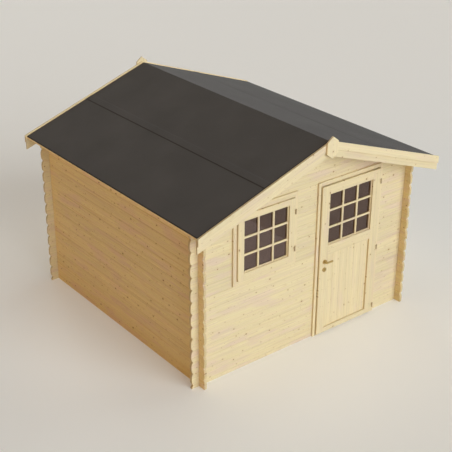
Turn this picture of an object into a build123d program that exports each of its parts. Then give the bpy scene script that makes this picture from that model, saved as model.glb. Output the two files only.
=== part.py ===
"""Garden shed of interlocking log boards, with a felted gable roof, a glazed door and a casement window.

All sizes are millimetres. X runs to the right along the front, Y runs to the back and Z runs up.
The origin lies on the ground, under the middle of the shed's box.
While a piece is drawn, Y is counted from the outer face of the front wall.
"""

import os
from math import asin, cos, radians, sin, tan

from build123d import *

os.makedirs("parts", exist_ok=True)

# Log walls
wall_width = 2820  # over the outer faces of the side walls
wall_depth = 2820  # over the outer faces of the front and rear walls
log_thickness = 28
log_height = 135  # cover height of one course
bottom_log_height = 106  # side wall's lowest log, ripped to a flat underside
top_log_height = 110  # side wall's highest log at its outer face, planed to the roof slope
full_courses = 12  # whole logs in a side wall, between the lowest and the highest
log_end = 90  # how far a log runs past the wall that it crosses
end_round_depth = 20  # how far a log end is rounded back at the joint above and below it
end_round_height = 45  # height of that rounding
end_round_flats = 2  # the rounding is planed in this many flats
joint_groove_depth = 3
joint_groove_height = 6
bottom_lap = 19  # height of the half log left standing under the lowest side log

# Roof
roof_pitch = 19.2  # degrees
roof_board_thickness = 19
eave_overhang = 177  # past the outer face of a side wall
front_overhang = 231
rear_overhang = 122
felt_thickness = 3
felt_seam = 803  # level distance from the ridge to the lower edge of the ridge sheet
felt_lap = 75
felt_step_run = 15  # length of the ramp where the ridge sheet climbs onto the eave sheet
purlin_width = 44
purlin_height = 105
side_purlin_place = 705  # level distance from the ridge to the middle of a side purlin
barge_thickness = 17
barge_width = 142
barge_cover_width = 77
barge_cover_rise = 9  # how far the cover board stands above the felt
barge_end_rim = 11  # how far the barge boards run past the eave
finial_thickness = 18
finial_half_width = 72
finial_shoulder_height = 118
finial_point_height = 55
finial_drop = 112  # from the felt at the ridge down to the lower shoulder

# Frames of the door and the window
frame_front = 20  # how far a frame stands proud of the wall, outside
frame_back = 20  # the same, inside
frame_lip = 10  # how far a frame laps the cut ends of the logs
frame_stop_width = 12  # how far the stop behind a leaf or sash reaches inward
timber_front = 38  # how far the leaf and the sash stand proud of the wall
timber_thickness = 40
glass_thickness = 4
glass_setback = 30  # from the outer face of a leaf or sash to the glass
glass_bite = 8  # how far the glass goes into its groove
glazing_bar_width = 22
glazing_bar_depth = 13
glazing_border = 12  # the rim that joins the bars round the light
pane_columns = 3
pane_rows = 3

# Door
door_left = 94  # outer edge of the left jamb, from the middle of the front
door_frame_width = 912
door_jamb_face = 34
door_head_face = 43
door_gap = 7  # clearance all round the leaf
threshold_height = 12
stile_width = 107
top_rail_height = 100
lock_rail_height = 113
bottom_rail_height = 53
door_light_height = 583
panel_thickness = 16
panel_setback = 20
panel_bite = 10
panel_boards = 6
panel_groove = 2
door_swing_axis_front = 9  # from the face of the leaf to the hinge pin
hinge_heights = (95, 828, 1608)
hinge_barrel_radius = 7
hinge_barrel_sides = 16  # the ten barrels have flat sides, so that they stay light
hinge_barrel_length = 27
hinge_pin_radius = 3.5
hinge_pin_clearance = 0.3
hinge_pin_reach = 21  # how far the pin goes up into the turning barrel
hinge_barrel_gap = 1
hinge_stem_radius = 3
hinge_stem_sides = 8

# Door furniture
handle_backset = 69  # from the edge of the leaf to the spindle
handle_height = 889
keyhole_drop = 92
lever_length = 78  # from the spindle to the middle of the lever's round tip
lever_height = 18
lever_thickness = 11
lever_chamfer = 2
lever_reach = 46  # from the face of the leaf to the outside of the lever
spindle_width = 8  # the spindle is square
spindle_bore_radius = 7
rosette_radius = 25
rosette_sides = 32
rosette_thickness = 8
rosette_bore_radius = 10
keyhole_radius = 5
keyhole_sides = 12
keyhole_slot_width = 5
keyhole_slot_length = 14

# Window
window_left = -1002  # outer edge of the frame, from the middle of the front
window_frame_width = 818
window_bottom = 998
window_jamb_face = 45
window_head_face = 53
window_sill_face = 45
sash_gap = 2
sash_stile_width = 75
sash_top_rail_height = 64
sash_bottom_rail_height = 72
window_hinge_heights = (1187, 1600)

# Heights and places that follow from the sizes above
slope = tan(radians(roof_pitch))
plumb = 1 / cos(radians(roof_pitch))
half_width = wall_width / 2
roof_half_width = half_width + eave_overhang
barge_half_width = roof_half_width + barge_end_rim
side_joints = [bottom_log_height + k * log_height for k in range(full_courses + 1)]
end_joints = [z - log_height / 2 for z in side_joints] + [side_joints[-1] + log_height / 2]
gable_joint = end_joints[-1]
side_wall_height = side_joints[-1] + top_log_height
ridge_underside = side_wall_height + half_width * slope
frame_top = gable_joint + frame_lip
felt_top = roof_board_thickness + felt_thickness
roof_front = -front_overhang
roof_back = wall_depth + rear_overhang
front_reach = roof_front - 2 * barge_thickness - finial_thickness
rear_reach = roof_back + 2 * barge_thickness + finial_thickness
middle_y = (front_reach + rear_reach) / 2
frame_y = (-frame_front, log_thickness + frame_back)
timber_y = (-timber_front, timber_thickness - timber_front)


def save(name, shape):
    """Moves a piece from the front wall's Y to the shed's own frame and writes it."""
    export_step(Pos(0, -middle_y, 0) * shape, f"parts/{name}.step")


def block(x, y, z):
    """A box between two X, two Y and two Z values."""
    middle = Pos((x[0] + x[1]) / 2, (y[0] + y[1]) / 2, (z[0] + z[1]) / 2)
    return middle * Box(x[1] - x[0], y[1] - y[0], z[1] - z[0])


def prism_along_y(points, y):
    """A polygon of (x, z) points, drawn out between two Y values."""
    face = make_face(Polyline(*points, close=True))
    return extrude(Plane((0, y[0], 0), x_dir=(1, 0, 0), z_dir=(0, -1, 0)) * face, amount=y[0] - y[1])


def prism_along_x(points, x):
    """A polygon of (y, z) points, drawn out between two X values."""
    face = make_face(Polyline(*points, close=True))
    return extrude(Plane((x[0], 0, 0), x_dir=(0, 1, 0), z_dir=(1, 0, 0)) * face, amount=x[1] - x[0])


def roof_z(x, above=0):
    """Height of the roof at x, at a square distance above the underside of the boards."""
    return ridge_underside + above * plumb - abs(x) * slope


def grooved_section(joints, top):
    """End view of stacked logs as (depth, z) points: a V groove runs along each joint on both faces."""
    outer = [(0, 0)]
    for z in joints:
        outer.append((0, z - joint_groove_height / 2))
        outer.append((joint_groove_depth, z))
        outer.append((0, z + joint_groove_height / 2))
    outer.append((0, top))
    inner = [(log_thickness - depth, z) for depth, z in reversed(outer)]
    return outer + inner


def rounded_end(z):
    """One log end as (setback, height) points, from the joint below it at z to the joint above."""
    radius = (end_round_height**2 + end_round_depth**2) / (2 * end_round_depth)
    sweep = asin(end_round_height / radius)
    turns = [sweep * k / end_round_flats for k in range(end_round_flats + 1)]
    corner = [(radius * (1 - cos(turn)), end_round_height - radius * sin(turn)) for turn in turns]
    below = [(setback, z + height) for setback, height in reversed(corner)]
    above = [(setback, z + log_height - height) for setback, height in corner]
    return below + above[:-1]


def notched_face(half_length, first_joint, top):
    """Side view of stacked logs, whose rounded ends leave a notch at each joint."""
    ends = []
    z = first_joint - log_height
    while z < top:
        ends.extend(rounded_end(z))
        z += log_height
    ends.append((end_round_depth, z))
    right = [(half_length - setback, height) for setback, height in ends]
    left = [(-x, height) for x, height in reversed(right)]
    return make_face(Polyline(*right, *left, close=True))


# At a corner the logs of the two walls lap: each keeps the middle half of its height
lap_half = log_height / 4
end_wall_laps = [(0, bottom_lap)] + [(z - lap_half, z + lap_half) for z in side_joints]
end_wall_laps.append((gable_joint, ridge_underside))
side_wall_laps = [(low[1], high[0]) for low, high in zip(end_wall_laps, end_wall_laps[1:])]

under_roof = prism_along_y(
    [
        (-2 * half_width, 0),
        (2 * half_width, 0),
        (2 * half_width, roof_z(2 * half_width)),
        (0, ridge_underside),
        (-2 * half_width, roof_z(2 * half_width)),
    ],
    (roof_front, roof_back),
)


def corner_blocks(laps, half_inner, near, far):
    """The laps of both corners of a wall, as boxes as wide as the log that crosses there."""
    shape = None
    for side in (-1, 1):
        x = sorted((side * half_inner, side * (half_inner + log_thickness)))
        for z in laps:
            piece = block(x, (near, far), z)
            shape = piece if shape is None else shape + piece
    return shape


def side_wall(side):
    """A side wall: the highest log is planed to the roof slope."""
    section = grooved_section(side_joints, side_wall_height + log_height)
    outer = side * half_width
    points = [(outer - side * depth, z) for depth, z in section]
    length = (-log_end, wall_depth + log_end)
    wall = prism_along_y(points, length)
    face = notched_face(wall_depth / 2 + log_end, side_joints[0], side_wall_height + log_height)
    plane = Plane((-half_width, wall_depth / 2, 0), x_dir=(0, 1, 0), z_dir=(1, 0, 0))
    outline = extrude(plane * face, amount=wall_width)
    wall = wall & outline & under_roof
    for y in ((0, log_thickness), (wall_depth - log_thickness, wall_depth)):
        wall = wall - corner_blocks(end_wall_laps, half_width - log_thickness, *y)
    return wall


def purlin(x):
    """A roof beam under the boards, with its top planed to the slope on each side of the ridge."""
    left = x - purlin_width / 2
    right = x + purlin_width / 2
    bottom = roof_z(x) - purlin_height
    top = [(right, roof_z(right)), (left, roof_z(left))]
    if x == 0:
        top.insert(1, (0, ridge_underside))
    return prism_along_y([(left, bottom), (right, bottom)] + top, (roof_front, roof_back))


ridge_purlin = purlin(0)
left_purlin = purlin(-side_purlin_place)
right_purlin = purlin(side_purlin_place)


all_end_joints = list(end_joints)
while all_end_joints[-1] + log_height < ridge_underside - purlin_height:
    all_end_joints.append(all_end_joints[-1] + log_height)


def end_wall(near):
    """The front or rear wall up into the gable, without openings; near is its lower Y."""
    far = near + log_thickness
    points = [(near + depth, z) for depth, z in grooved_section(all_end_joints, ridge_underside)]
    wall = prism_along_x(points, (-half_width - log_end, half_width + log_end))
    face = notched_face(half_width + log_end, end_joints[0], ridge_underside)
    outline = extrude(Plane((0, near, 0), x_dir=(1, 0, 0), z_dir=(0, -1, 0)) * face, amount=-log_thickness)
    wall = wall & outline & under_roof
    wall = wall - corner_blocks(side_wall_laps, half_width - log_thickness, near, far)
    return wall - ridge_purlin - left_purlin - right_purlin


save("left_wall", side_wall(-1))
save("right_wall", side_wall(1))

# Both end walls are split where the gable starts, and the front also beside the doorway
everywhere_x = (-2 * half_width, 2 * half_width)
above_joint = (gable_joint, ridge_underside)
below_joint = (0, gable_joint)
rear_near = wall_depth - log_thickness
rear = end_wall(rear_near)
rear_y = (rear_near, wall_depth)
save("rear_wall", rear & block(everywhere_x, rear_y, below_joint))
save("rear_gable", rear & block(everywhere_x, rear_y, above_joint))

front = end_wall(0)
front_y = (0, log_thickness)
door_right = door_left + door_frame_width
window_right = window_left + window_frame_width
window_hole = block(
    (window_left + frame_lip, window_right - frame_lip), front_y, (window_bottom + frame_lip, gable_joint)
)
save("front_gable", front & block(everywhere_x, front_y, above_joint))
front_left = front & block((everywhere_x[0], door_left + frame_lip), front_y, below_joint)
save("front_wall_left", front_left - window_hole)
save("front_wall_right", front & block((door_right - frame_lip, everywhere_x[1]), front_y, below_joint))

save("ridge_purlin", ridge_purlin)
save("left_purlin", left_purlin)
save("right_purlin", right_purlin)


def slope_layer(side, x, above, y):
    """A layer of one roof slope between two distances from the ridge and two heights above the underside."""
    corners = [(x[0], above[0]), (x[1], above[0]), (x[1], above[1]), (x[0], above[1])]
    return prism_along_y([(side * distance, roof_z(distance, height)) for distance, height in corners], y)


def ridge_sheet():
    """The felt over the ridge: its lower edges step up onto the sheets of the eaves."""
    bed = roof_board_thickness
    step = felt_seam - felt_lap
    under = [(0, bed), (step - felt_step_run, bed), (step, felt_top), (felt_seam, felt_top)]
    over = [(x, height + felt_thickness) for x, height in reversed(under)]
    right = [(x, roof_z(x, height)) for x, height in under + over[:-1]]
    left = [(-x, z) for x, z in reversed(right)]
    top = [(0, roof_z(0, felt_top))]
    return prism_along_y(right + top + left[:-1], (roof_front, roof_back))


roof_y = (roof_front, roof_back)
save("ridge_felt", ridge_sheet())

cover_top = felt_top + barge_cover_rise
barge_layer = (felt_top - barge_width, felt_top)
cover_layer = (cover_top - barge_cover_width, cover_top)
front_boards = (roof_front - barge_thickness, roof_front)
front_covers = (roof_front - 2 * barge_thickness, roof_front - barge_thickness)
rear_boards = (roof_back, roof_back + barge_thickness)
rear_covers = (roof_back + barge_thickness, roof_back + 2 * barge_thickness)
ends = {"front": (front_boards, front_covers), "rear": (rear_boards, rear_covers)}
for hand, side in (("left", -1), ("right", 1)):
    save(f"{hand}_roof_boards", slope_layer(side, (0, roof_half_width), (0, roof_board_thickness), roof_y))
    felt_place = (felt_seam - felt_lap, roof_half_width)
    save(f"{hand}_eave_felt", slope_layer(side, felt_place, (roof_board_thickness, felt_top), roof_y))
    for end, (board_y, cover_y) in ends.items():
        save(f"{end}_{hand}_barge_board", slope_layer(side, (0, barge_half_width), barge_layer, board_y))
        save(f"{end}_{hand}_barge_cover", slope_layer(side, (0, barge_half_width), cover_layer, cover_y))


def finial(near):
    """The pointed board over the joint of the barge boards."""
    low = roof_z(0, felt_top) - finial_drop
    high = low + finial_shoulder_height
    half = finial_half_width
    points = [(-half, low), (0, low - finial_point_height), (half, low)]
    points += [(half, high), (0, high + finial_point_height), (-half, high)]
    return prism_along_y(points, (near, near + finial_thickness))


save("front_finial", finial(front_reach))
save("rear_finial", finial(rear_reach - finial_thickness))

# Door frame: grooved jambs and head that clasp the cut logs, with a stop behind the leaf
head_bottom = frame_top - door_head_face
leaf_left = door_left + door_jamb_face + door_gap
leaf_right = door_right - door_jamb_face - door_gap
leaf_bottom = threshold_height + door_gap
leaf_top = head_bottom - door_gap
stop_y = (timber_y[1] + door_gap, frame_y[1])


def door_jamb(side):
    """A jamb on the full height of the frame; side is -1 at the lock and 1 at the hinges."""
    outer = door_left if side < 0 else door_right
    inner = outer - side * door_jamb_face
    stop = inner - side * frame_stop_width
    lap = outer - side * frame_lip
    jamb = block(sorted((outer, inner)), frame_y, (0, frame_top))
    jamb = jamb + block(sorted((inner, stop)), stop_y, (0, head_bottom))
    return jamb - block(sorted((outer, lap)), front_y, (0, frame_top))


inner_x = (door_left + door_jamb_face, door_right - door_jamb_face)
head = block(inner_x, frame_y, (head_bottom, frame_top))
stop_z = (head_bottom - frame_stop_width, head_bottom)
stop_x = (inner_x[0] + frame_stop_width, inner_x[1] - frame_stop_width)
head = head + block(stop_x, stop_y, stop_z) - block(inner_x, front_y, (gable_joint, frame_top))
gable_lap = block((door_left, door_right), front_y, (gable_joint, frame_top))
save("door_left_jamb", door_jamb(-1) - gable_lap)
save("door_right_jamb", door_jamb(1) - gable_lap)
save("door_head", head)
threshold_y = (frame_y[0], stop_y[0])
threshold = block(inner_x, threshold_y, (0, threshold_height))
save("door_threshold", threshold + block(stop_x, stop_y, (0, threshold_height)))

# Door leaf: stiles and rails hold a glazed light above and a boarded panel below
opening_x = (leaf_left + stile_width, leaf_right - stile_width)
light_top = leaf_top - top_rail_height
light_bottom = light_top - door_light_height
panel_top = light_bottom - lock_rail_height
panel_bottom = leaf_bottom + bottom_rail_height
glass_y = (timber_y[0] + glass_setback, timber_y[0] + glass_setback + glass_thickness)
bar_y = (glass_y[0] - glazing_bar_depth, glass_y[0])
panel_y = (timber_y[0] + panel_setback, timber_y[0] + panel_setback + panel_thickness)


def grown(x, z, y, bite):
    """A sheet that reaches into the grooves round its opening."""
    return block((x[0] - bite, x[1] + bite), y, (z[0] - bite, z[1] + bite))


door_glass = grown(opening_x, (light_bottom, light_top), glass_y, glass_bite)
panel_blank = grown(opening_x, (panel_bottom, panel_top), panel_y, panel_bite)
handle_x = leaf_left + handle_backset


def round_bar(radius, x, y, z):
    """A round bar along Y between two Y values."""
    return Pos(x, (y[0] + y[1]) / 2, z) * Rot(90, 0, 0) * Cylinder(radius, y[1] - y[0])


def flat_sided_bar(radius, sides, x, y, z):
    """The same bar with flat sides."""
    plane = Plane((x, y[1], z), x_dir=(1, 0, 0), z_dir=(0, -1, 0))
    return extrude(plane * RegularPolygon(radius, sides), amount=y[1] - y[0])


spindle_bore = round_bar(spindle_bore_radius, handle_x, timber_y, handle_height)
left_stile = block((leaf_left, opening_x[0]), timber_y, (leaf_bottom, leaf_top))
right_stile = block((opening_x[1], leaf_right), timber_y, (leaf_bottom, leaf_top))
save("door_left_stile", left_stile - door_glass - panel_blank - spindle_bore)
save("door_right_stile", right_stile - door_glass - panel_blank)
rails = {
    "door_top_rail": (light_top, leaf_top),
    "door_lock_rail": (panel_top, light_bottom),
    "door_bottom_rail": (leaf_bottom, panel_bottom),
}
for name, z in rails.items():
    save(name, block(opening_x, timber_y, z) - door_glass - panel_blank)
save("door_glass", door_glass)


def boarded_panel():
    """The tongued boards of the lower panel, with a V groove at each joint on the outside."""
    panel = panel_blank
    board = (opening_x[1] - opening_x[0]) / panel_boards
    front_face = panel_y[0]
    for k in range(1, panel_boards):
        x = opening_x[0] + k * board
        groove = [(x - panel_groove, front_face), (x, front_face + panel_groove), (x + panel_groove, front_face)]
        face = make_face(Polyline(*groove, close=True))
        panel = panel - extrude(Pos(0, 0, panel_bottom) * face, amount=panel_top - panel_bottom)
    return panel


def glazing_bars(x, z, y):
    """The cross bars in front of the glass, with the rim that joins them round the light."""
    pane_width = (x[1] - x[0] - 2 * glazing_border - (pane_columns - 1) * glazing_bar_width) / pane_columns
    pane_height = (z[1] - z[0] - 2 * glazing_border - (pane_rows - 1) * glazing_bar_width) / pane_rows
    grid = block(x, y, z)
    for column in range(pane_columns):
        left = x[0] + glazing_border + column * (pane_width + glazing_bar_width)
        for row in range(pane_rows):
            bottom = z[0] + glazing_border + row * (pane_height + glazing_bar_width)
            grid = grid - block((left, left + pane_width), y, (bottom, bottom + pane_height))
    return grid


save("door_panel", boarded_panel())
save("door_glazing_bars", glazing_bars(opening_x, (light_bottom, light_top), bar_y))


# Hinges: the knuckle on the frame carries a pin, and the knuckle on the leaf or sash turns on it
def knuckle(x, y, z, side, face):
    """A barrel on a stem that goes into the timber at 45 degrees; side is the way the stem leans.

    The stem is drawn down to the timber's face, where its thread would start.
    """
    middle = (z[0] + z[1]) / 2
    reach = 2 * (face - y)
    barrel_section = RegularPolygon(hinge_barrel_radius, hinge_barrel_sides)
    barrel = extrude(Pos(x, y, z[0]) * barrel_section, amount=z[1] - z[0])
    stem_section = RegularPolygon(hinge_stem_radius, hinge_stem_sides)
    stem = extrude(Plane((x, y, middle), z_dir=(side, 1, 0)) * stem_section, amount=reach)
    before_face = block(sorted((x, x + side * reach)), (y, face), z)
    return barrel + (stem & before_face)


def hinge_pair(x, y, heights, frame_face, timber_face):
    """The frame's knuckles with their pins, and the knuckles that turn on them."""
    fixed = []
    turning = []
    for z in heights:
        lower = (z - hinge_barrel_length - hinge_barrel_gap / 2, z - hinge_barrel_gap / 2)
        upper = (z + hinge_barrel_gap / 2, z + hinge_barrel_length + hinge_barrel_gap / 2)
        pin_z = (lower[0] + hinge_barrel_length / 2, upper[0] + hinge_pin_reach)
        pin = Pos(x, y, (pin_z[0] + pin_z[1]) / 2) * Cylinder(hinge_pin_radius, pin_z[1] - pin_z[0])
        bore_radius = hinge_pin_radius + hinge_pin_clearance
        bore_top = pin_z[1] + hinge_barrel_gap
        bore = Pos(x, y, (upper[0] + bore_top) / 2) * Cylinder(bore_radius, bore_top - upper[0])
        fixed.append(knuckle(x, y, lower, 1, frame_face) + pin)
        turning.append(knuckle(x, y, upper, -1, timber_face) - bore)
    return fixed, turning


hinge_x = leaf_right + door_gap / 2
hinge_y = timber_y[0] - door_swing_axis_front
fixed, turning = hinge_pair(hinge_x, hinge_y, hinge_heights, frame_y[0], timber_y[0])
save("door_hinge_pins", Compound(children=fixed))
save("door_hinge_knuckles", Compound(children=turning))


# Door furniture: rosettes and keyhole plates on both faces, and two levers on one spindle
def lever(face, out):
    """A lever and its round neck on one face of the leaf; out is -1 outside and 1 inside."""
    far = face + out * lever_reach
    near = far - out * lever_thickness
    radius = lever_height / 2
    neck = round_bar(radius, handle_x, sorted((face, far)), handle_height)
    plane = Plane((0, max(far, near), 0), x_dir=(1, 0, 0), z_dir=(0, -1, 0))
    tip = Pos(handle_x + lever_length, handle_height) * Circle(radius)
    outline = Pos(handle_x + lever_length / 2, handle_height) * Rectangle(lever_length, lever_height) + tip
    grip = neck + extrude(plane * outline, amount=lever_thickness)
    outside = grip.faces().sort_by(Axis.Y)[0 if out < 0 else -1]
    return chamfer(outside.edges(), lever_chamfer)


spindle_x = (handle_x - spindle_width / 2, handle_x + spindle_width / 2)
spindle_z = (handle_height - spindle_width / 2, handle_height + spindle_width / 2)
levers = lever(timber_y[0], -1) + lever(timber_y[1], 1) + block(spindle_x, timber_y, spindle_z)
save("door_lever_handle", levers)

key_height = handle_height - keyhole_drop
plates = []
for y in (
    (timber_y[0] - rosette_thickness, timber_y[0]),
    (timber_y[1], timber_y[1] + rosette_thickness),
):
    rosette = flat_sided_bar(rosette_radius, rosette_sides, handle_x, y, handle_height)
    plates.append(rosette - round_bar(rosette_bore_radius, handle_x, y, handle_height))
    slot_x = (handle_x - keyhole_slot_width / 2, handle_x + keyhole_slot_width / 2)
    keyhole = flat_sided_bar(keyhole_radius, keyhole_sides, handle_x, y, key_height)
    keyhole = keyhole + block(slot_x, y, (key_height - keyhole_slot_length, key_height))
    plates.append(flat_sided_bar(rosette_radius, rosette_sides, handle_x, y, key_height) - keyhole)
save("door_rosettes", Compound(children=plates))

# Window: a grooved frame clasps the logs, and a glazed sash closes against its stop
sash_x = (window_left + window_jamb_face + sash_gap, window_right - window_jamb_face - sash_gap)
sash_z = (window_bottom + window_sill_face + sash_gap, frame_top - window_head_face - sash_gap)
frame_x = (window_left, window_right)
frame_z = (window_bottom, frame_top)
light_x = (sash_x[0] + sash_stile_width, sash_x[1] - sash_stile_width)
light_z = (sash_z[0] + sash_bottom_rail_height, sash_z[1] - sash_top_rail_height)
window_frame = block(frame_x, frame_y, frame_z)
sash_room = grown(sash_x, sash_z, (frame_y[0], timber_y[1]), sash_gap)
window_frame = window_frame - sash_room - grown(sash_x, sash_z, frame_y, sash_gap - frame_stop_width)
window_wall = block(frame_x, front_y, frame_z) - window_hole
save("window_frame", window_frame - window_wall)
window_glass = grown(light_x, light_z, glass_y, glass_bite)
sash = block(sash_x, timber_y, sash_z) - block(light_x, timber_y, light_z)
save("window_sash", sash - window_glass)
save("window_glass", window_glass)
save("window_glazing_bars", glazing_bars(light_x, light_z, bar_y))
window_hinge_x = sash_x[1] + sash_gap / 2
fixed, turning = hinge_pair(window_hinge_x, hinge_y, window_hinge_heights, frame_y[0], timber_y[0])
save("window_hinges", Compound(children=fixed + turning))
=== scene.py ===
"""Looks of the garden shed: pale spruce log boards, joinery, bitumen felt, panes and fittings.

All sizes are metres in the shed's own frame: X to the right along the front, Y to the back, Z up.
"""

import math
import random

import bmesh
import bpy
from mathutils import Euler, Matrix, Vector


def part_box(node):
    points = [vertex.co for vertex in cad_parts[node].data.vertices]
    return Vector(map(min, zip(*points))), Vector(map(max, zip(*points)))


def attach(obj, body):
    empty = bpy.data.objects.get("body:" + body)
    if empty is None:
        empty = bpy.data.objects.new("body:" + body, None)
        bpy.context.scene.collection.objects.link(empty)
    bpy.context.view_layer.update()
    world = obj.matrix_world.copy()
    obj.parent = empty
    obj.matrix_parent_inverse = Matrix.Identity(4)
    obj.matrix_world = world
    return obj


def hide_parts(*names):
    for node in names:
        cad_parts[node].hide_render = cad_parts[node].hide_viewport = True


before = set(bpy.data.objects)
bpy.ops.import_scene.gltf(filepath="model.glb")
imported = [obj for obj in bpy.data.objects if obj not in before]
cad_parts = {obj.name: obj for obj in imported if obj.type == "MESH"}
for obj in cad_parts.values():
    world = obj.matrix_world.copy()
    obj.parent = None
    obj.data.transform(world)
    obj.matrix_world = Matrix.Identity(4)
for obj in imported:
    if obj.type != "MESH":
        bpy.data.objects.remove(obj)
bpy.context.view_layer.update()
random.seed(31)

# Log walls
# Planed spruce logs, 28 mm thick and 135 mm high, stacked tongue in groove and lapped in notches at the
# corners. Here each log is sawn out of its wall's solid at the joints, with its own stretch of grain and
# eased edges.

LOG_HEIGHT = 0.135
SIDE_WALL_JOINT = 0.106
END_WALL_JOINT = SIDE_WALL_JOINT - LOG_HEIGHT / 2
COURSES = 18
LOG_EASE = 0.0007
SHARP_ANGLE = math.radians(25)
FLAT_ANGLE = math.radians(0.5)
WELD = 1e-5
ON_PLANE = 1e-6
FACING_BACK = -0.99
NEAR_CUT = 1e-4
X_AXIS = Vector((1, 0, 0))
Y_AXIS = Vector((0, 1, 0))
Z_AXIS = Vector((0, 0, 1))


def add_node(tree, kind, values=None, **settings):
    """A node with its settings and input values; a socket given as a value is linked."""
    node = tree.nodes.new(kind)
    for key, value in settings.items():
        setattr(node, key, value)
    for key, value in (values or {}).items():
        if isinstance(value, bpy.types.NodeSocket):
            tree.links.new(value, node.inputs[key])
        else:
            node.inputs[key].default_value = value
    return node


def calc(tree, operation, a, b=0.0, c=0.0):
    """One step of arithmetic."""
    return add_node(tree, "ShaderNodeMath", {0: a, 1: b, 2: c}, operation=operation).outputs[0]


def ramp_between(tree, value, low, high):
    """0 below low, 1 above high, and smooth between; low may be the larger one."""
    values = {"Value": value, "From Min": low, "From Max": high}
    return add_node(tree, "ShaderNodeMapRange", values, interpolation_type="SMOOTHSTEP").outputs["Result"]


def mix_colour(tree, share, a, b, blend="MIX"):
    """Colour a with a share of colour b."""
    node = add_node(tree, "ShaderNodeMix", {"Factor": share}, data_type="RGBA", blend_type=blend)
    for socket, value in ((node.inputs[6], a), (node.inputs[7], b)):
        if isinstance(value, bpy.types.NodeSocket):
            tree.links.new(value, socket)
        else:
            socket.default_value = value
    return node.outputs[2]


def grain_noise(tree, grain, along, across, detail):
    """Noise drawn out along the grain; along and across are its waves per metre."""
    scale = {0: grain, 1: (along, across, across)}
    vector = add_node(tree, "ShaderNodeVectorMath", scale, operation="MULTIPLY").outputs[0]
    values = {"Vector": vector, "Scale": 1.0, "Detail": detail, "Roughness": 0.55}
    return add_node(tree, "ShaderNodeTexNoise", values).outputs["Fac"]


def knot_masks(tree, grain, density, smallest, spread, share):
    """Knots and their rims, one to a cell of a flat pattern, so that each goes straight through a board.

    The cells are given per metre, the radii in metres, and share is how many of the cells have a knot.
    """
    oval = (0.85 * density, 1.15 * density, 0)
    flat = add_node(tree, "ShaderNodeVectorMath", {0: grain, 1: oval}, operation="MULTIPLY").outputs[0]
    values = {"Vector": flat, "Scale": 1.0}
    cells = add_node(tree, "ShaderNodeTexVoronoi", values, voronoi_dimensions="2D").outputs
    pick = add_node(tree, "ShaderNodeSeparateColor", {"Color": cells["Color"]}).outputs
    size = calc(tree, "POWER", pick["Green"], 2)
    radius = calc(tree, "MULTIPLY_ADD", size, spread * density, smallest * density)
    darkness = calc(tree, "MULTIPLY_ADD", pick["Blue"], 0.4, 0.6)
    present = calc(tree, "MULTIPLY", calc(tree, "LESS_THAN", pick["Red"], share), darkness)
    reach = calc(tree, "DIVIDE", cells["Distance"], radius)
    core = calc(tree, "MULTIPLY", ramp_between(tree, reach, 1.15, 0.8), present)
    rim = calc(tree, "MULTIPLY", ramp_between(tree, reach, 4.0, 0.9), present)
    return core, rim


EARLY_WOOD = (0.80, 0.685, 0.420, 1)
LATE_WOOD = (0.62, 0.435, 0.198, 1)
ROSY_WOOD = (0.74, 0.55, 0.48, 1)
KNOT = (0.28, 0.105, 0.022, 1)
RING_WIDTH = 0.0046
RING_WANDER = 0.05
KNOT_BEND = 0.006


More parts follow.
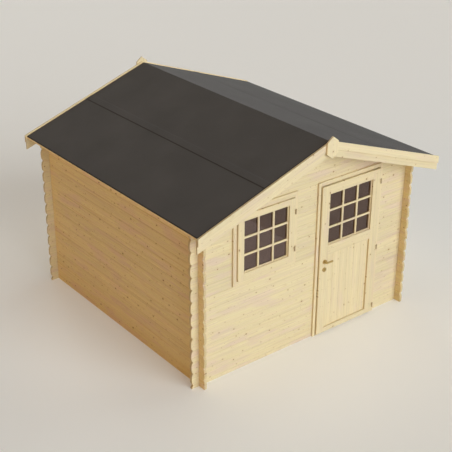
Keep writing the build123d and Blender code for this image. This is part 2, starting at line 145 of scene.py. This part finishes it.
def spruce_group():
    """Growth rings, streaks, patches and knots of sawn spruce, from the boards' own grain coordinates."""
    group = bpy.data.node_groups.new("spruce_grain", "ShaderNodeTree")
    for name, kind, value in (
        ("Early Wood", "NodeSocketColor", EARLY_WOOD),
        ("Late Wood", "NodeSocketColor", LATE_WOOD),
        ("Rosy Wood", "NodeSocketColor", ROSY_WOOD),
        ("Knot", "NodeSocketColor", KNOT),
        ("Ring Strength", "NodeSocketFloat", 0.3),
        ("Patch Strength", "NodeSocketFloat", 0.3),
        ("Knot Share", "NodeSocketFloat", 0.6),
        ("End Shade", "NodeSocketFloat", -0.16),
    ):
        group.interface.new_socket(name, in_out="INPUT", socket_type=kind).default_value = value
    group.interface.new_socket("Colour", in_out="OUTPUT", socket_type="NodeSocketColor")
    group.interface.new_socket("Roughness", in_out="OUTPUT", socket_type="NodeSocketFloat")
    group.interface.new_socket("Height", in_out="OUTPUT", socket_type="NodeSocketFloat")
    given = group.nodes.new("NodeGroupInput").outputs
    grain = add_node(group, "ShaderNodeAttribute", attribute_name="grain").outputs["Vector"]
    board = add_node(group, "ShaderNodeAttribute", attribute_name="board").outputs["Fac"]
    end = add_node(group, "ShaderNodeAttribute", attribute_name="end_grain").outputs["Fac"]

    pin_share = calc(group, "MULTIPLY", given["Knot Share"], 0.7)
    core, rim = knot_masks(
        group, grain, density=7.0, smallest=0.0036, spread=0.0062, share=given["Knot Share"]
    )
    pins, pin_rim = knot_masks(group, grain, density=17.0, smallest=0.0018, spread=0.0018, share=pin_share)

    # Rings are circles round a pith beside the board, and wander along its length and round its knots
    axis = add_node(group, "ShaderNodeSeparateXYZ", {0: grain}).outputs
    wander = calc(group, "MULTIPLY", grain_noise(group, grain, along=0.9, across=6, detail=2), RING_WANDER)
    squares = calc(group, "ADD", calc(group, "POWER", axis[1], 2), calc(group, "POWER", axis[2], 2))
    distance = calc(group, "ADD", calc(group, "SQRT", squares), wander)
    distance = calc(group, "MULTIPLY_ADD", rim, KNOT_BEND, distance)
    turn = calc(group, "FRACT", calc(group, "DIVIDE", distance, RING_WIDTH))
    late = calc(group, "MULTIPLY", ramp_between(group, turn, 0.45, 0.9), ramp_between(group, turn, 1.0, 0.93))
    fine = grain_noise(group, grain, along=3, across=260, detail=3)
    patches = grain_noise(group, grain, along=2.2, across=9, detail=2)
    streaks = grain_noise(group, grain, along=0.7, across=46, detail=2)
    flecks = grain_noise(group, grain, along=5, across=75, detail=2)
    lines = grain_noise(group, grain, along=1.3, across=105, detail=1)

    # Rings first, then rosy patches and flecks, and darker streaks
    ring_strength = calc(group, "MULTIPLY_ADD", end, 0.35, given["Ring Strength"])
    ring_share = calc(group, "MULTIPLY", late, ring_strength)
    colour = mix_colour(group, ring_share, given["Early Wood"], given["Late Wood"])
    for pattern, low, high, weight, wood in (
        (patches, 0.50, 0.70, 1.0, "Rosy Wood"),
        (flecks, 0.46, 0.64, 0.5, "Rosy Wood"),
        (streaks, 0.50, 0.78, 0.55, "Late Wood"),
    ):
        share = calc(group, "MULTIPLY", ramp_between(group, pattern, low, high), given["Patch Strength"])
        colour = mix_colour(group, calc(group, "MULTIPLY", share, weight), colour, given[wood])

    # Fine lines, the board's own tone and its cut ends make it lighter or darker
    level = calc(group, "MULTIPLY_ADD", fine, 0.16, 0.92)
    for value, gain, base in ((lines, 0.25, 0.875), (board, 0.06, 0.97), (end, given["End Shade"], 1.0)):
        level = calc(group, "MULTIPLY", level, calc(group, "MULTIPLY_ADD", value, gain, base))
    grey = add_node(group, "ShaderNodeCombineColor", {0: level, 1: level, 2: level}).outputs[0]
    colour = mix_colour(group, 1.0, colour, grey, "MULTIPLY")

    # Knots lie over all of it, each in a rim of darker wood
    for mask, weight, wood in (
        (rim, 0.22, "Late Wood"),
        (pin_rim, 0.12, "Late Wood"),
        (calc(group, "MAXIMUM", core, pins), 0.85, "Knot"),
    ):
        colour = mix_colour(group, calc(group, "MULTIPLY", mask, weight), colour, given[wood])
    height = calc(group, "MULTIPLY_ADD", late, 0.35, calc(group, "MULTIPLY", fine, 0.5))
    rough = calc(group, "MULTIPLY_ADD", late, -0.1, calc(group, "MULTIPLY_ADD", fine, 0.16, 0.56))
    values = {"Colour": colour, "Roughness": rough, "Height": calc(group, "SUBTRACT", height, core)}
    add_node(group, "NodeGroupOutput", values)
    return group


GRAIN_RELIEF = 0.0006
GRAIN_BUMP = 0.35
WOOD_SHINE = 0.16


def bump(tree, height, strength, distance):
    """A normal from a height."""
    values = {"Height": height, "Strength": strength, "Distance": distance}
    return add_node(tree, "ShaderNodeBump", values).outputs["Normal"]


def spruce_material(name, **inputs):
    """Untreated spruce: the group gives its pattern, and each kind of board has its own strengths."""
    material = bpy.data.materials.new(name)
    material.use_nodes = True
    tree = material.node_tree
    group = add_node(tree, "ShaderNodeGroup", node_tree=spruce_grain)
    for key, value in inputs.items():
        group.inputs[key.replace("_", " ").title()].default_value = value
    shader = tree.nodes["Principled BSDF"]
    tree.links.new(group.outputs["Colour"], shader.inputs["Base Color"])
    tree.links.new(group.outputs["Roughness"], shader.inputs["Roughness"])
    tree.links.new(bump(tree, group.outputs["Height"], GRAIN_BUMP, GRAIN_RELIEF), shader.inputs["Normal"])
    shader.inputs["Specular IOR Level"].default_value = WOOD_SHINE
    return material


spruce_grain = spruce_group()
wall_spruce = spruce_material("wall_spruce", ring_strength=0.3, patch_strength=0.46, knot_share=0.72)
# The side walls' copy of the spruce has painted shade: its early wood is more orange, and its late wood and
# knots are darker, like the shaded left wall. Its stronger patches and extra knots are the wood's own marks.
side_spruce_painted_shade = spruce_material(
    "side_spruce_painted_shade",
    early_wood=(0.83, 0.70, 0.395, 1),
    late_wood=(0.62, 0.40, 0.165, 1),
    knot=(0.20, 0.07, 0.015, 1),
    rosy_wood=(0.78, 0.585, 0.45, 1),
    ring_strength=0.38,
    patch_strength=0.75,
    knot_share=0.9,
)


def solid_of(node):
    """A node's mesh with whole faces in place of its triangles."""
    part = bmesh.new()
    part.from_mesh(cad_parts[node].data)
    bmesh.ops.remove_doubles(part, verts=part.verts, dist=WELD)
    bmesh.ops.dissolve_limit(part, angle_limit=FLAT_ANGLE, verts=part.verts, edges=part.edges)
    return part


def clipped(whole, planes):
    """What a solid has behind some planes, given as a point and an outward direction, with closed ends."""
    part = whole.copy()
    for point, outward in planes:
        geometry = part.verts[:] + part.edges[:] + part.faces[:]
        bmesh.ops.bisect_plane(
            part, geom=geometry, dist=ON_PLANE, plane_co=point, plane_no=outward, clear_outer=True
        )
        part.normal_update()
        # Faces that lay in the plane and belonged to what was cut away stay behind, and go here
        left_over = []
        for face in part.faces:
            off_plane = abs((face.calc_center_median() - point).dot(outward))
            if face.normal.dot(outward) < FACING_BACK and off_plane < WELD:
                left_over.append(face)
        bmesh.ops.delete(part, geom=left_over, context="FACES")
        bmesh.ops.holes_fill(part, edges=[edge for edge in part.edges if edge.is_boundary], sides=0)
    return part


def sawn(node, axis=Z_AXIS, cuts=()):
    """The boards that a node's solid is made of, parted square to an axis at the cuts."""
    whole = solid_of(node)
    places = [vertex.co.dot(axis) for vertex in whole.verts]
    inside = [place for place in cuts if min(places) + NEAR_CUT < place < max(places) - NEAR_CUT]
    parts = []
    for low, high in zip([None] + inside, inside + [None]):
        planes = [(axis * place, axis * way) for place, way in ((low, -1), (high, 1)) if place is not None]
        parts.append(clipped(whole, planes))
    return parts


def ease_edges(part, size):
    """Takes the sharp outer edges off a board."""
    edges = [
        edge for edge in part.edges
        if edge.is_manifold and edge.is_convex and edge.calc_face_angle(0) > SHARP_ANGLE
    ]
    bmesh.ops.bevel(
        part, geom=edges, offset=size, segments=2, profile=0.6, affect="EDGES", clamp_overlap=True
    )


TREE_RUN = 40
PITH_SIDE = 0.05
PITH_DEPTH = (0.03, 0.09)
END_CUT = 0.8
FLAT_FACES_WEIGHT = 80


def grain_axes(part, tilt, through):
    """Along, across and through the grain: along the longest side, or down a roof slope."""
    if tilt:
        along = Vector((math.cos(tilt), 0, -math.sin(tilt)))
    else:
        spans = []
        for axis in (X_AXIS, Y_AXIS, Z_AXIS):
            places = [vertex.co.dot(axis) for vertex in part.verts]
            spans.append(max(places) - min(places))
        along = (X_AXIS, Y_AXIS, Z_AXIS)[spans.index(max(spans))]
    return along, through.cross(along), through


def timber(name, parts, material, nodes, body="shed", ease=LOG_EASE, tilt=0.0, through=Y_AXIS):
    """One piece from boards, each with its own grain and tone, and with end grain where it is cut across."""
    points = []
    faces = []
    grain = []
    tones = []
    ends = []
    for part in parts:
        along, across, depth = grain_axes(part, tilt, through)
        middle = sum((vertex.co for vertex in part.verts), Vector()) / len(part.verts)
        ease_edges(part, ease)
        part.normal_update()
        from_butt = random.uniform(0, TREE_RUN)
        beside_pith = random.uniform(-PITH_SIDE, PITH_SIDE)
        shift = Vector((from_butt, beside_pith, random.uniform(*PITH_DEPTH)))
        tone = random.random()
        start = len(points)
        for index, vertex in enumerate(part.verts):
            vertex.index = index
            place = vertex.co - middle
            points.append(vertex.co.copy())
            grain.extend(Vector((place.dot(along), place.dot(across), place.dot(depth))) + shift)
            tones.append(tone)
        for face in part.faces:
            faces.append([start + vertex.index for vertex in face.verts])
            ends.append(1.0 if abs(face.normal.dot(along)) > END_CUT else 0.0)
        part.free()
    mesh = bpy.data.meshes.new(name)
    mesh.from_pydata(points, [], faces)
    mesh.attributes.new("grain", "FLOAT_VECTOR", "POINT").data.foreach_set("vector", grain)
    mesh.attributes.new("board", "FLOAT", "POINT").data.foreach_set("value", tones)
    mesh.attributes.new("end_grain", "FLOAT", "FACE").data.foreach_set("value", ends)
    mesh.shade_smooth()
    piece = bpy.data.objects.new(name, mesh)
    bpy.context.scene.collection.objects.link(piece)
    piece.data.materials.append(material)
    normals = piece.modifiers.new("face_normals", "WEIGHTED_NORMAL")
    normals.weight = FLAT_FACES_WEIGHT
    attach(piece, body)
    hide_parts(*nodes)


side_joints = [SIDE_WALL_JOINT + k * LOG_HEIGHT for k in range(COURSES)]
end_joints = [END_WALL_JOINT + k * LOG_HEIGHT for k in range(COURSES)]
for node in ("left_wall", "right_wall"):
    timber(f"{node}_logs", sawn(node, Z_AXIS, side_joints), side_spruce_painted_shade, [node], through=X_AXIS)
for node in ("rear_wall", "rear_gable", "front_wall_left", "front_wall_right", "front_gable"):
    timber(f"{node}_logs", sawn(node, Z_AXIS, end_joints), wall_spruce, [node])

# Purlins
# Three beams of planed spruce run through both gables and carry the roof boards.
# Their tops are cut to the slope of the roof.

PURLIN_EASE = 0.002
# Its cut ends are coloured lighter than its faces: painted light on the ends of the roof boards and purlins.
roof_spruce = spruce_material(
    "roof_spruce", ring_strength=0.34, patch_strength=0.4, knot_share=0.7, end_shade=0.14
)
for node in ("ridge_purlin", "left_purlin", "right_purlin"):
    timber(f"{node}_beam", sawn(node), roof_spruce, [node], ease=PURLIN_EASE, through=X_AXIS)

# Roof boards
# Tongued spruce boards, 19 mm thick and 96 mm wide, run from the ridge to the eaves, nailed to the purlins.
# Their joints show from below as fine grooves, and their ends as a pale line under the felt. That pale line
# is painted light: the cut ends are coloured lighter than the faces.

ROOF_BOARD_WIDTH = 0.096
ROOF_BOARD_EASE = 0.0016
PITCH = math.radians(19.2)
low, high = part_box("left_roof_boards")
boards_a_side = int((high.y - low.y) / ROOF_BOARD_WIDTH)
board_joints = [low.y + k * ROOF_BOARD_WIDTH for k in range(1, boards_a_side)]
for hand, side in (("left", -1), ("right", 1)):
    node = f"{hand}_roof_boards"
    boards = sawn(node, Y_AXIS, board_joints)
    square_to_slope = Vector((side * math.sin(PITCH), 0, math.cos(PITCH)))
    timber(
        f"{hand}_roof_planks", boards, roof_spruce, [node],
        ease=ROOF_BOARD_EASE, tilt=side * PITCH, through=square_to_slope,
    )

# Roof felt
# Bitumen felt with a fine mineral face: a sheet on each eave, and one over the ridge that laps them.
# It is laid flat and nailed. A near-black band along the eaves and verges, and a fainter one at the lower
# edges of the ridge sheet, is painted shade for the shadowed gaps at the felt's edges.

# Width and near-black colour of the painted shade along the felt's edges.
EDGE_SHADE_WIDTH = 0.009
EDGE_SHADE_BLACK = (0.012, 0.009, 0.006, 1)
SEAM_SHADE = 0.6
FELT_DARK = (0.066, 0.063, 0.062, 1)
FELT_DUSTY = (0.136, 0.130, 0.127, 1)
FELT_ROUGHNESS = 0.72
FELT_SHINE = 0.2
GRIT_DEPTH = 0.0008


def noise(tree, scale, detail=2.0):
    """Noise in the object's own space; scale is its waves per metre."""
    place = add_node(tree, "ShaderNodeTexCoord").outputs["Object"]
    values = {"Vector": place, "Scale": scale, "Detail": detail}
    return add_node(tree, "ShaderNodeTexNoise", values).outputs["Fac"]


def finish_nodes(material, *nodes):
    """Gives CAD nodes that stay as they are their finish."""
    for node in nodes:
        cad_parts[node].data.materials.clear()
        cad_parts[node].data.materials.append(material)


felt = bpy.data.materials.new("bitumen_felt")
felt.use_nodes = True
tree = felt.node_tree
grit = noise(tree, 620.0, 3.0)
cloud = calc(tree, "MULTIPLY", noise(tree, 2.3, 4.0), 0.45)
dust = calc(tree, "MULTIPLY_ADD", ramp_between(tree, grit, 0.45, 0.75), 0.5, cloud)
felt_colour = mix_colour(tree, dust, FELT_DARK, FELT_DUSTY)

place = add_node(tree, "ShaderNodeTexCoord").outputs["Object"]
axis = add_node(tree, "ShaderNodeSeparateXYZ", {0: place}).outputs
low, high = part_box("ridge_felt")
eave_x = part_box("right_eave_felt")[1].x
from_ridge = calc(tree, "ABSOLUTE", axis[0])
from_middle = calc(tree, "ABSOLUTE", calc(tree, "SUBTRACT", axis[1], (low.y + high.y) / 2))
# Masks of the painted shade: bands along the verges and eaves, and a fainter band at the ridge sheet's lower
# edges.
verge = calc(tree, "GREATER_THAN", from_middle, (high.y - low.y) / 2 - EDGE_SHADE_WIDTH)
eave = calc(tree, "GREATER_THAN", from_ridge, eave_x - EDGE_SHADE_WIDTH)
seam = calc(tree, "MULTIPLY", calc(tree, "COMPARE", from_ridge, high.x, EDGE_SHADE_WIDTH / 2), SEAM_SHADE)
painted_edge_shade = calc(tree, "MAXIMUM", calc(tree, "MAXIMUM", verge, eave), seam)
shader = tree.nodes["Principled BSDF"]
tree.links.new(mix_colour(tree, painted_edge_shade, felt_colour, EDGE_SHADE_BLACK), shader.inputs["Base Color"])
tree.links.new(calc(tree, "MULTIPLY_ADD", grit, 0.2, FELT_ROUGHNESS), shader.inputs["Roughness"])
tree.links.new(bump(tree, grit, 0.5, GRIT_DEPTH), shader.inputs["Normal"])
shader.inputs["Specular IOR Level"].default_value = FELT_SHINE
finish_nodes(felt, "ridge_felt", "left_eave_felt", "right_eave_felt")

# Barge boards and finials
# A wide board of planed spruce closes each verge under the felt, and a narrower one covers its top edge and
# the felt's. A pointed board hides their joint at the ridge. All are screwed on through their faces.

TRIM_EASE = 0.0025
trim_spruce = spruce_material(
    "trim_spruce",
    early_wood=(0.83, 0.71, 0.45, 1),
    ring_strength=0.26,
    patch_strength=0.26,
    knot_share=0.45,
)
for end in ("front", "rear"):
    for hand, side in (("left", -1), ("right", 1)):
        for kind in ("board", "cover"):
            node = f"{end}_{hand}_barge_{kind}"
            timber(
                f"{node}_planed", sawn(node), trim_spruce, [node],
                tilt=side * PITCH, ease=TRIM_EASE,
            )
    node = f"{end}_finial"
    timber(f"{node}_planed", sawn(node), trim_spruce, [node], ease=TRIM_EASE)

# Door frame
# Jambs and a head of finely planed spruce, grooved to clasp the cut logs on both faces, so that the logs can
# still shrink and swell. A low threshold lies between the jambs.

FRAME_EASE = 0.002
joinery_spruce = spruce_material(
    "joinery_spruce",
    early_wood=(0.81, 0.685, 0.425, 1),
    ring_strength=0.26,
    patch_strength=0.28,
    knot_share=0.5,
)
for node in ("door_left_jamb", "door_right_jamb", "door_head", "door_threshold"):
    timber(f"{node}_planed", sawn(node), joinery_spruce, [node], ease=FRAME_EASE)

# Door leaf
# Two stiles and three rails of planed spruce, with the rails tenoned into the stiles. Their grooves hold the
# glass above and a panel of six upright tongued boards below.

LEAF_EASE = 0.0018
PANEL_EASE = 0.001
PANEL_BOARDS = 6
for node in ("door_left_stile", "door_right_stile", "door_top_rail", "door_lock_rail", "door_bottom_rail"):
    timber(f"{node}_planed", sawn(node), joinery_spruce, [node], body="door", ease=LEAF_EASE)

stile_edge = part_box("door_left_stile")[1].x
panel_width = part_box("door_right_stile")[0].x - stile_edge
panel_joints = [stile_edge + k * panel_width / PANEL_BOARDS for k in range(1, PANEL_BOARDS)]
panel = sawn("door_panel", X_AXIS, panel_joints)
timber("door_panel_boards", panel, joinery_spruce, ["door_panel"], body="door", ease=PANEL_EASE)

# Glazing bars of the door and the window
# Spruce bars and rims in front of the glass, which they part into nine panes. Two upright bars and the
# upright rims run through, and short bars are fitted between them.

BAR_WIDTH = 0.022
BAR_RIM = 0.012
BAR_EASE = 0.0015


def islands(part):
    """The separate solids that one mesh holds."""
    part.faces.index_update()
    part.faces.ensure_lookup_table()
    rest = set(range(len(part.faces)))
    solids = []
    while rest:
        found = set()
        reach = {min(rest)}
        while reach:
            found |= reach
            edges = [edge for index in reach for edge in part.faces[index].edges]
            reach = {face.index for edge in edges for face in edge.link_faces} - found
        rest -= found
        solid = part.copy()
        solid.faces.ensure_lookup_table()
        others = [face for index, face in enumerate(solid.faces) if index not in found]
        bmesh.ops.delete(solid, geom=others, context="FACES")
        solids.append(solid)
    part.free()
    return solids


for node, body in (("door_glazing_bars", "door"), ("window_glazing_bars", "shed")):
    low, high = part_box(node)
    pane = (high.x - low.x - 2 * BAR_RIM - 2 * BAR_WIDTH) / 3
    cuts = [low.x + BAR_RIM, high.x - BAR_RIM]
    for k in (1, 2):
        start = low.x + BAR_RIM + k * pane + (k - 1) * BAR_WIDTH
        cuts += [start, start + BAR_WIDTH]
    bars = [bar for strip in sawn(node, X_AXIS, sorted(cuts)) for bar in islands(strip)]
    timber(f"{node}_planed", bars, joinery_spruce, [node], body=body, ease=BAR_EASE)

# Window
# A grooved spruce frame, mitred at its corners, clasps the cut logs, and a glazed spruce sash closes in it.
# The sash's stiles run through, and its rails are tenoned between them.

FRAME_SIDE = 0.045
FRAME_HEAD = 0.053
FRAME_SILL = 0.045
SASH_STILE = 0.075
SASH_EASE = 0.002
low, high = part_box("window_frame")
mitres = {}
for hand, edge, inward in (("left", low.x, 1), ("right", high.x, -1)):
    for end, level, face, up in (("head", high.z, FRAME_HEAD, 1), ("sill", low.z, FRAME_SILL, -1)):
        toward_end = Vector((inward * face, 0, up * FRAME_SIDE)).normalized()
        mitres[hand, end] = (Vector((edge, 0, level)), toward_end)
frame_solid = solid_of("window_frame")
members = [clipped(frame_solid, [mitres[hand, "head"], mitres[hand, "sill"]]) for hand in ("left", "right")]
for end in ("head", "sill"):
    cuts = [mitres[hand, end] for hand in ("left", "right")]
    members.append(clipped(frame_solid, [(point, -outward) for point, outward in cuts]))
timber("window_frame_mitred", members, joinery_spruce, ["window_frame"], ease=FRAME_EASE)

low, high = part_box("window_sash")
strips = sawn("window_sash", X_AXIS, [low.x + SASH_STILE, high.x - SASH_STILE])
members = [member for strip in strips for member in islands(strip)]
timber("window_sash_tenoned", members, joinery_spruce, ["window_sash"], ease=SASH_EASE)

# Panes
# One sheet of tinted glass, 4 mm thick, in the door and one in the sash, held in grooves behind the bars.
# The glass is a little wavy, with faint haze where it was wiped.

HAZE = 0.06
POLISH = 0.015
WAVE_DEPTH = 0.001
glass = bpy.data.materials.new("pane_glass")
glass.use_nodes = True
tree = glass.node_tree
haze = ramp_between(tree, noise(tree, 9.0, 5.0), 0.5, 0.75)
shader = tree.nodes["Principled BSDF"]
tree.links.new(calc(tree, "MULTIPLY_ADD", haze, HAZE, POLISH), shader.inputs["Roughness"])
tree.links.new(bump(tree, noise(tree, 3.0), 0.3, WAVE_DEPTH), shader.inputs["Normal"])
shader.inputs["Base Color"].default_value = (0.27, 0.20, 0.19, 1)
shader.inputs["Transmission Weight"].default_value = 1.0
shader.inputs["IOR"].default_value = 1.95
# The pink tint of the panes' reflections is a painted reflection colour, standing in for the mauve of what
# they reflect.
shader.inputs["Specular Tint"].default_value = (1.0, 0.71, 0.62, 1)
finish_nodes(glass, "door_glass", "window_glass")

# Hinges, levers and key plates
# Barrel hinges of bronzed zinc-plated steel, screwed into the frame and the leaf by their stems. The levers
# are brass, on one spindle through the stile, with brass rosettes and key plates on both faces.

DULLED = 0.7
SMUDGE_ROUGHNESS = 0.2


def metal(name, colour, roughness):
    """Plated or polished metal with faint smudges in its gloss."""
    material = bpy.data.materials.new(name)
    material.use_nodes = True
    tree = material.node_tree
    smudge = noise(tree, 90.0, 4.0)
    shader = tree.nodes["Principled BSDF"]
    dull = tuple(DULLED * value for value in colour) + (1,)
    tint = mix_colour(tree, ramp_between(tree, smudge, 0.45, 0.8), colour + (1,), dull)
    gloss = calc(tree, "MULTIPLY_ADD", smudge, SMUDGE_ROUGHNESS, roughness)
    tree.links.new(tint, shader.inputs["Base Color"])
    tree.links.new(gloss, shader.inputs["Roughness"])
    shader.inputs["Metallic"].default_value = 1.0
    return material


zinc = metal("bronzed_zinc", (0.58, 0.45, 0.29), 0.32)
finish_nodes(zinc, "door_hinge_pins", "door_hinge_knuckles", "window_hinges")
brass = metal("polished_brass", (0.56, 0.41, 0.17), 0.2)
finish_nodes(brass, "door_lever_handle", "door_rosettes")

# Studio
# A pale floor, and a pale backdrop that only the camera, gloss and glass see. A broad low key light shines
# on the front, an orange fill on the left side, and weaker soft lights on the right side, the rear and the
# roof. The camera looks from the front left.

FLOOR_HALF = 60
FLOOR_GLOW = 0.14
BACKDROP_LEVEL = 0.66
AMBIENT_LEVEL = 0.03


def seen_rays(tree):
    """1 for rays that the camera, gloss or glass sends, and 0 for those that only carry light."""
    rays = add_node(tree, "ShaderNodeLightPath").outputs
    seen = calc(tree, "MAXIMUM", rays["Is Camera Ray"], rays["Is Glossy Ray"])
    return calc(tree, "MAXIMUM", seen, rays["Is Transmission Ray"])


floor_mesh = bpy.data.meshes.new("floor")
corners = [(-FLOOR_HALF, -FLOOR_HALF, 0), (FLOOR_HALF, -FLOOR_HALF, 0), (FLOOR_HALF, FLOOR_HALF, 0)]
floor_mesh.from_pydata(corners + [(-FLOOR_HALF, FLOOR_HALF, 0)], [], [(0, 1, 2, 3)])
floor = bpy.data.objects.new("floor", floor_mesh)
bpy.context.scene.collection.objects.link(floor)
pale = bpy.data.materials.new("pale_floor")
pale.use_nodes = True
shader = pale.node_tree.nodes["Principled BSDF"]
shader.inputs["Base Color"].default_value = (0.86, 0.845, 0.80, 1)
shader.inputs["Roughness"].default_value = 0.9
tree = pale.node_tree
tree.links.new(calc(tree, "MULTIPLY", seen_rays(tree), FLOOR_GLOW), shader.inputs["Emission Strength"])
shader.inputs["Emission Color"].default_value = (0.97, 0.96, 0.95, 1)
floor_mesh.materials.append(pale)


def sun(name, toward, strength, colour, softness):
    """A far lamp that shines from a direction, with soft shadows."""
    light = bpy.data.lights.new(name, "SUN")
    light.energy = strength
    light.color = colour
    light.angle = math.radians(softness)
    lamp = bpy.data.objects.new(name, light)
    lamp.rotation_euler = Vector(toward).to_track_quat("Z", "Y").to_euler()
    bpy.context.scene.collection.objects.link(lamp)


sun("key_light", (0.160, -0.965, 0.208), 3.05, (0.91, 0.96, 1.0), 60)
sun("left_fill", (-0.995, 0, 0.1), 0.90, (1.0, 0.48, 0.0), 50)
sun("right_fill", (0.95, 0, 0.30), 0.80, (1.0, 0.97, 0.92), 50)
sun("rear_fill", (0.3, 0.95, 0.07), 1.1, (1.0, 0.97, 0.93), 20)
sun("top_light", (0, 0, 1), 0.52, (1.0, 0.97, 0.90), 50)
world = bpy.data.worlds.new("studio")
world.use_nodes = True
tree = world.node_tree
shown = calc(tree, "MULTIPLY_ADD", seen_rays(tree), BACKDROP_LEVEL - AMBIENT_LEVEL, AMBIENT_LEVEL)
tree.nodes["Background"].inputs["Color"].default_value = (1.0, 0.975, 0.94, 1)
tree.links.new(shown, tree.nodes["Background"].inputs["Strength"])
bpy.context.scene.world = world
bpy.context.scene.view_settings.view_transform = "Standard"

SENSOR = 36.0
PHOTO_SIZE = 452
FOCAL_PIXELS = 1013.5
lens = bpy.data.cameras.new("camera")
lens.sensor_width = SENSOR
lens.lens = SENSOR * FOCAL_PIXELS / PHOTO_SIZE
camera = bpy.data.objects.new("camera", lens)
camera.location = (-6.367, -8.082, 5.913)
camera.rotation_euler = Euler((math.radians(63.68), math.radians(-0.16), math.radians(-38.11)))
bpy.context.scene.collection.objects.link(camera)
bpy.context.scene.camera = camera
